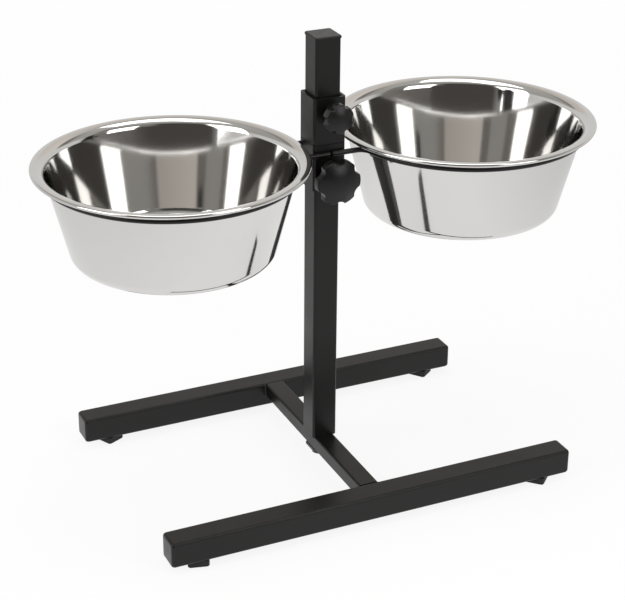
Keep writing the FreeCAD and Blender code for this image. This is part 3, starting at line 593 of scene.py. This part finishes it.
# %% [markdown]
# ## The wire rings
# Each ring is one round wire: a straight tail along the front of the sleeve, a small bend outwards, the hoop
# round the bowl, the same bend back, and a tail along the rear. A curve with a round bevel would do for most of it,
# but its ends would be cut square, and the real ones are slightly rounded. Here a circle is carried along the centre
# line. The line lies flat, so at every point the circle stands on the line's sideways direction and on +Z.

# %% Wire rings
WIRE_RADIUS, WIRE_BEND, END_ROUND = 2.5, 10.0, 0.7
TAIL_OFFSET, BOWL_OFFSET, TAIL_START = 18.5, 148.0, 1.0
WIRE_DROP, PLAY = 8.5, 0.4
HOOP_RADIUS = FOOT_RADIUS + slope * (BOWL_HEIGHT - WIRE_DROP) + stretch * (WIRE_RADIUS + PLAY)


def ring_line():
    """The wire's centre line, from one tail to the other, with the hoop's centre on the x axis."""
    bend_x = BOWL_OFFSET - math.sqrt((HOOP_RADIUS + WIRE_BEND) ** 2 - (TAIL_OFFSET + WIRE_BEND) ** 2)
    tilt = math.degrees(math.atan2(TAIL_OFFSET + WIRE_BEND, BOWL_OFFSET - bend_x))
    bend = arc((bend_x, -TAIL_OFFSET - WIRE_BEND), WIRE_BEND, 90, tilt, 24)
    hoop = arc((BOWL_OFFSET, 0), HOOP_RADIUS, tilt - 180, 180 - tilt, 260)
    tail = run((TAIL_START, -TAIL_OFFSET), bend[0], 16)
    half = np.concatenate([tail[:-1], bend])
    return np.concatenate([half, hoop[1:-1], (half * [1, -1])[::-1]])


def round_wire(line, radius, end_round, columns=28):
    """A circle carried along a flat line: centre plus sideways times cosine plus +Z times sine."""
    ahead = np.gradient(line, axis=0)
    ahead = ahead / np.linalg.norm(ahead, axis=1)[:, None]
    # At both ends, extra rows draw in from the full circle to a slightly smaller flat end
    turn = np.radians([0, 30, 60, 90])
    inwards = end_round * (1 - np.sin(turn[::-1]))
    thinner = end_round * (1 - np.cos(turn[::-1]))
    start = line[0] + ahead[0] * inwards[:, None]
    stop = (line[-1] - ahead[-1] * inwards[:, None])[::-1]
    path = np.concatenate([start, line[1:-1], stop])
    along = np.concatenate([np.repeat(ahead[:1], len(turn), 0), ahead[1:-1], np.repeat(ahead[-1:], len(turn), 0)])
    size = np.concatenate([radius - thinner, np.full(len(line) - 2, radius), (radius - thinner)[::-1]])
    sideways = np.stack([-along[:, 1], along[:, 0]], axis=-1)
    angle = np.linspace(0, 2 * math.pi, columns, endpoint=False)
    flat = path[:, None] + sideways[:, None] * (size[:, None] * np.cos(angle))[..., None]
    return np.concatenate([flat, (size[:, None] * np.sin(angle))[..., None]], axis=-1)


ring_wire = round_wire(ring_line(), WIRE_RADIUS, END_ROUND)
for side, way in (("left", -1), ("right", 1)):
    low, high = (np.array(corner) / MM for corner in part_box(side + "_bowl_ring"))
    place = np.array([0, (low[1] + high[1]) / 2, (low[2] + high[2]) / 2])
    grid_piece(side + "_wire_ring", ring_wire * [way, 1, 1] + place, "carrier", "powder_coat", side + "_bowl_ring")

# %% [markdown]
# ## The weld beads
# The bar is welded to the legs down both its sides, and the wire tails are welded to the sleeve along their lower
# side. A bead is a row of melted drops that overlap, coated with the rest. Balls merged by a remesh would look like
# it, but their faces are many and uneven. A round ridge that swells a little with every drop and tapers at both ends
# has the same ripple on a clean grid. It lies in the corner between two pieces and is half sunk into both.

# %% Weld beads
DROP, SWELL, BLUNT = 2.4, 0.16, 0.03  # width of a drop; its swelling and the blunt end as shares of the radius
# The radii of the beads, and how far their middle lines stand out from the bar and the sleeve
BAR_BEAD, WIRE_BEAD, PROUD = 1.7, 1.3, 0.5
STOP_LOW, STOP_TOP = 1.0, 1.5  # how far the bar's beads stop short of its underside and its top
WIRE_FROM, WIRE_TO = 2.5, 13.0  # the wire's beads, measured sideways from the middle of the sleeve
BELOW_WIRE, ROWS_PER_MM = 0.75, 6


def weld_bead(start, end, radius, columns=16):
    """A circle carried along a straight line: its radius has a blunt taper and one arched swelling for every drop."""
    start, end = np.array(start), np.array(end)
    length = np.linalg.norm(end - start)
    ahead = (end - start) / length
    side = np.cross(ahead, [0.0, 1.0, 0.0])
    above = np.cross(ahead, side)
    share = np.linspace(0, 1, int(length * ROWS_PER_MM))[:, None]
    taper = BLUNT + (1 - BLUNT) * np.sqrt(1 - np.abs(2 * share - 1) ** 4)
    size = radius * taper * (1 + SWELL * np.abs(np.sin(math.pi * share * length / DROP)))
    angle = np.linspace(0, 2 * math.pi, columns, endpoint=False)[:, None]
    return (start + share * (end - start))[:, None] + size[..., None] * (np.cos(angle) * side + np.sin(angle) * above)


bar_low, bar_high = (np.array(corner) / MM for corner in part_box("cross_bar"))
sleeve_low, sleeve_high = (np.array(corner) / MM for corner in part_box("carrier_sleeve"))
ring_low, ring_high = (np.array(corner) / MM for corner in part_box("left_bowl_ring"))
under_wire = (ring_low[2] + ring_high[2]) / 2 - BELOW_WIRE * WIRE_RADIUS
for end, bar_y, sleeve_y in (("front", bar_low[1] + PROUD, sleeve_low[1] - PROUD),
                             ("rear", bar_high[1] - PROUD, sleeve_high[1] + PROUD)):
    for side, bar_x, way in (("left", bar_low[0] - PROUD, -1), ("right", bar_high[0] + PROUD, 1)):
        bar_bead = weld_bead((bar_x, bar_y, bar_low[2] + STOP_LOW), (bar_x, bar_y, bar_high[2] - STOP_TOP), BAR_BEAD)
        grid_piece(f"{end}_{side}_bar_weld", bar_bead, "stand", "powder_coat")
        wire_bead = weld_bead((WIRE_FROM * way, sleeve_y, under_wire), (WIRE_TO * way, sleeve_y, under_wire),
                              WIRE_BEAD)
        grid_piece(f"{end}_{side}_wire_weld", wire_bead, "carrier", "powder_coat")

# %% [markdown]
# ## The plugs in the leg ends
# A moulded plug closes each leg end. Only its plate shows: as large as the tube, with edges rounded like a pebble so
# that nobody is scratched. A block with a Bevel modifier is rounded alike on all sides, but the back of this plate is
# sharp, because it sits flat on the tube. So every row of the grid is a rounded square. The rows run from the end of
# the stem, which sits inside the tube, out over the back of the plate and round its edge to the flat face.

# %% Leg plugs
PLATE, STEM, PLATE_HALF, STEM_HALF = 3.0, 14.0, 12.5, 10.85
PLATE_CORNER, STEM_CORNER, EDGE_ROUND = 3.2, 1.0, 2.7
FACE_HALVES, FACE_CORNERS = [6.0, 2.0], [0.4, 0.3]  # two smaller squares that fill the face


def rounded_square(half, corner, steps=9):
    """A small square with a circle carried round it: corner of the square plus radius times cosine and sine."""
    angle = (np.arange(4)[:, None] * 90 + np.linspace(0, 90, steps)).ravel()
    middle = np.radians(np.repeat(np.arange(4) * 90 + 45, steps))
    angle = np.radians(angle)
    across = np.sign(np.cos(middle)) * (half - corner)[:, None] + corner[:, None] * np.cos(angle)
    upward = np.sign(np.sin(middle)) * (half - corner)[:, None] + corner[:, None] * np.sin(angle)
    return across, upward


edge = np.radians(np.linspace(0, 90, 9))
drawn_in = EDGE_ROUND * (1 - np.cos(edge))
# Three rows for the stem and the back of the plate, then the rounded edge and the two squares of the face
plug_out = np.concatenate([[-STEM, -0.05, 0.0], PLATE - EDGE_ROUND + EDGE_ROUND * np.sin(edge), [PLATE, PLATE]])
plug_half = np.concatenate([[STEM_HALF, STEM_HALF, PLATE_HALF], PLATE_HALF - drawn_in, FACE_HALVES])
plug_corner = np.concatenate([[STEM_CORNER, STEM_CORNER, PLATE_CORNER], PLATE_CORNER - drawn_in, FACE_CORNERS])
across, upward = rounded_square(plug_half, plug_corner)
for corner_name in ("front_left", "front_right", "rear_left", "rear_right"):
    low, high = (np.array(corner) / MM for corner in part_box(corner_name + "_cap"))
    middle_y, middle_z = (low[1:] + high[1:]) / 2
    way, face = (-1, low[0]) if corner_name.endswith("left") else (1, high[0])
    plug = np.stack([face + way * (plug_out[:, None] - PLATE) + 0 * across, middle_y + across, middle_z + upward], -1)
    grid_piece(corner_name + "_leg_plug", plug, "stand", "black_plastic", corner_name + "_cap")

# %% [markdown]
# ## The star knobs
# A star knob is a moulded disc with six hollows for the fingers and a round hub behind. Seen from the front its
# outline is a circle with six smaller circles bitten out, with the points between rounded off. Boolean cuts could
# bite them out, but they leave long thin faces that shade badly, so the outline is a formula. Going from the hub to
# the rim, each row of the grid changes from a circle to that outline. The front is a shallow dome.

# %% Star knobs
HOLLOWS = 6
OVERHANG, SOFTNESS = 0.45, 0.028  # share of the bite left outside the disc; soft corner as a share of its radius
HUB, HUB_DEPTH, BORE, SKIN = 9.0, 6.0, 4.05, 4.0
FRONT_EDGE, BACK_EDGE, DOME_SHARE = 2.0, 1.2, 0.15
EDGE_TURN = 64  # degrees; there the rounded front edge meets the slope of the dome
OUT_OF_REACH = 40.0  # added where a direction misses the biting circle, so that the disc is the lesser


def star_outline(angle, radius, bite, first_hollow):
    """Outline radius: the lesser of the disc and the near side of the biting circle, with a soft corner between."""
    reach = radius + OVERHANG * bite
    half_turn = math.pi / HOLLOWS
    off = (angle - first_hollow + half_turn) % (2 * half_turn) - half_turn
    inside = np.clip(bite ** 2 - (reach * np.sin(off)) ** 2, 0, None)
    hollow = reach * np.cos(off) - np.sqrt(inside) + OUT_OF_REACH * (inside == 0)
    softness = SOFTNESS * radius
    return -softness * np.log(np.exp(-radius / softness) + np.exp(-hollow / softness))


def star_knob(centre, diameter, depth, bite, first_hollow, columns=360):
    """Rows from the stud's blind hole over the hub and the lobed rim to the middle of the dome."""
    angle = np.linspace(0, 2 * math.pi, columns, endpoint=False)
    outline = star_outline(angle, diameter / 2, bite, first_hollow)
    dome = DOME_SHARE * diameter
    face = HUB_DEPTH + depth
    # The blind hole, the rounded end of the hub, its side, and the small hollow where it meets the disc
    plain = np.array([(BORE, face - SKIN), (BORE, HUB_DEPTH), (BORE, 0.35), (BORE + 0.35, 0), (HUB - 0.8, 0),
                      (HUB - 0.3, 0.15), (HUB, 0.8), (HUB, HUB_DEPTH - 1.2), (HUB + 0.25, HUB_DEPTH - 0.4),
                      (HUB + 1, HUB_DEPTH)])
    round_rows = np.repeat(plain[:, None, :], columns, axis=1)

    def dome_height(radius):
        """A shallow dome: it falls from the face with the square of the radius."""
        return face - dome * (2 * radius / diameter) ** 2

    back_edge = np.radians(np.linspace(0, 90, 6))[:, None]
    spread = np.array([0.3, 0.65])[:, None]
    under = np.stack([(1 - spread) * (HUB + 1) + spread * (outline - BACK_EDGE),
                      HUB_DEPTH + 0 * spread * outline], -1)
    rim_back = np.stack([outline - BACK_EDGE + BACK_EDGE * np.sin(back_edge),
                         HUB_DEPTH + BACK_EDGE - BACK_EDGE * np.cos(back_edge) + 0 * outline], -1)
    front_edge = np.radians(np.linspace(0, EDGE_TURN, 8))[:, None]
    inner = outline - FRONT_EDGE
    rim_front = np.stack([inner + FRONT_EDGE * np.cos(front_edge),
                          dome_height(inner) - FRONT_EDGE + FRONT_EDGE * np.sin(front_edge)], -1)
    shrink = np.linspace(0.94, 0.04, 22)[:, None]
    top_radius = shrink * inner
    top = np.stack([top_radius, dome_height(top_radius)], -1)
    rows = np.concatenate([round_rows, under, rim_back, rim_front, top])
    radius, height = rows[..., 0], rows[..., 1]
    return np.stack([centre[0] + radius * np.cos(angle), centre[1] - height,
                     centre[2] + radius * np.sin(angle)], axis=-1)


# Diameter, depth and bite in millimetres, and the direction of one hollow in degrees
knob_sizes = (("carrier", 43.0, 15.0, 6.5, 90), ("collar", 28.0, 12.0, 4.0, 0))
for clamp, diameter, depth, bite, first_hollow in knob_sizes:
    hub_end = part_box(clamp + "_knob")[1][1] / MM
    nut_low, nut_high = (np.array(corner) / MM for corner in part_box(clamp + "_nut"))
    centre = (0.0, hub_end, (nut_low[2] + nut_high[2]) / 2)
    star = star_knob(centre, diameter, depth, bite, math.radians(first_hollow))
    grid_piece(clamp + "_star_knob", star, clamp + "_knob", "black_plastic", clamp + "_knob", crease=50)

# %% [markdown]
# ## The clamp studs
# A coarse thread shows in the gap between the nut and the knob once a clamp is opened. A Screw modifier winds a tooth
# into a thread, but leaves its ends open. A thread is also a radius that rises and falls along the axis and is
# shifted by one pitch over each turn, so one formula gives the whole closed stud.

# %% Threaded studs
PITCH, CREST, THREAD_DEPTH, POINT = 1.25, 4.0, 0.6, 1.0
STEEPNESS, FLAT = 1.3, 0.15
ROWS_PER_PITCH, STUD_COLUMNS = 10, 48
for clamp in ("carrier", "collar"):
    low, high = (np.array(corner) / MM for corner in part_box(clamp + "_screw"))
    axis_height = (low[2] + high[2]) / 2
    length = high[1] - low[1]
    angle = np.linspace(0, 2 * math.pi, STUD_COLUMNS, endpoint=False)
    along = np.linspace(0, length, int(length / PITCH * ROWS_PER_PITCH))[:, None]
    wave = np.abs(((along / PITCH - angle / (2 * math.pi)) % 1) * 2 - 1)
    # The tip is drawn in by a chamfer; elsewhere the flanks are straight and the crests and roots flattened
    radius = CREST - THREAD_DEPTH * np.clip(STEEPNESS * wave - FLAT, 0, 1)
    radius = np.minimum(radius, CREST - POINT + np.minimum(along, POINT))
    stud = np.stack([radius * np.cos(angle), high[1] - along + 0 * angle, axis_height + radius * np.sin(angle)], -1)
    grid_piece(clamp + "_threaded_stud", stud, clamp + "_screw", "zinc_steel", clamp + "_screw", crease=60)
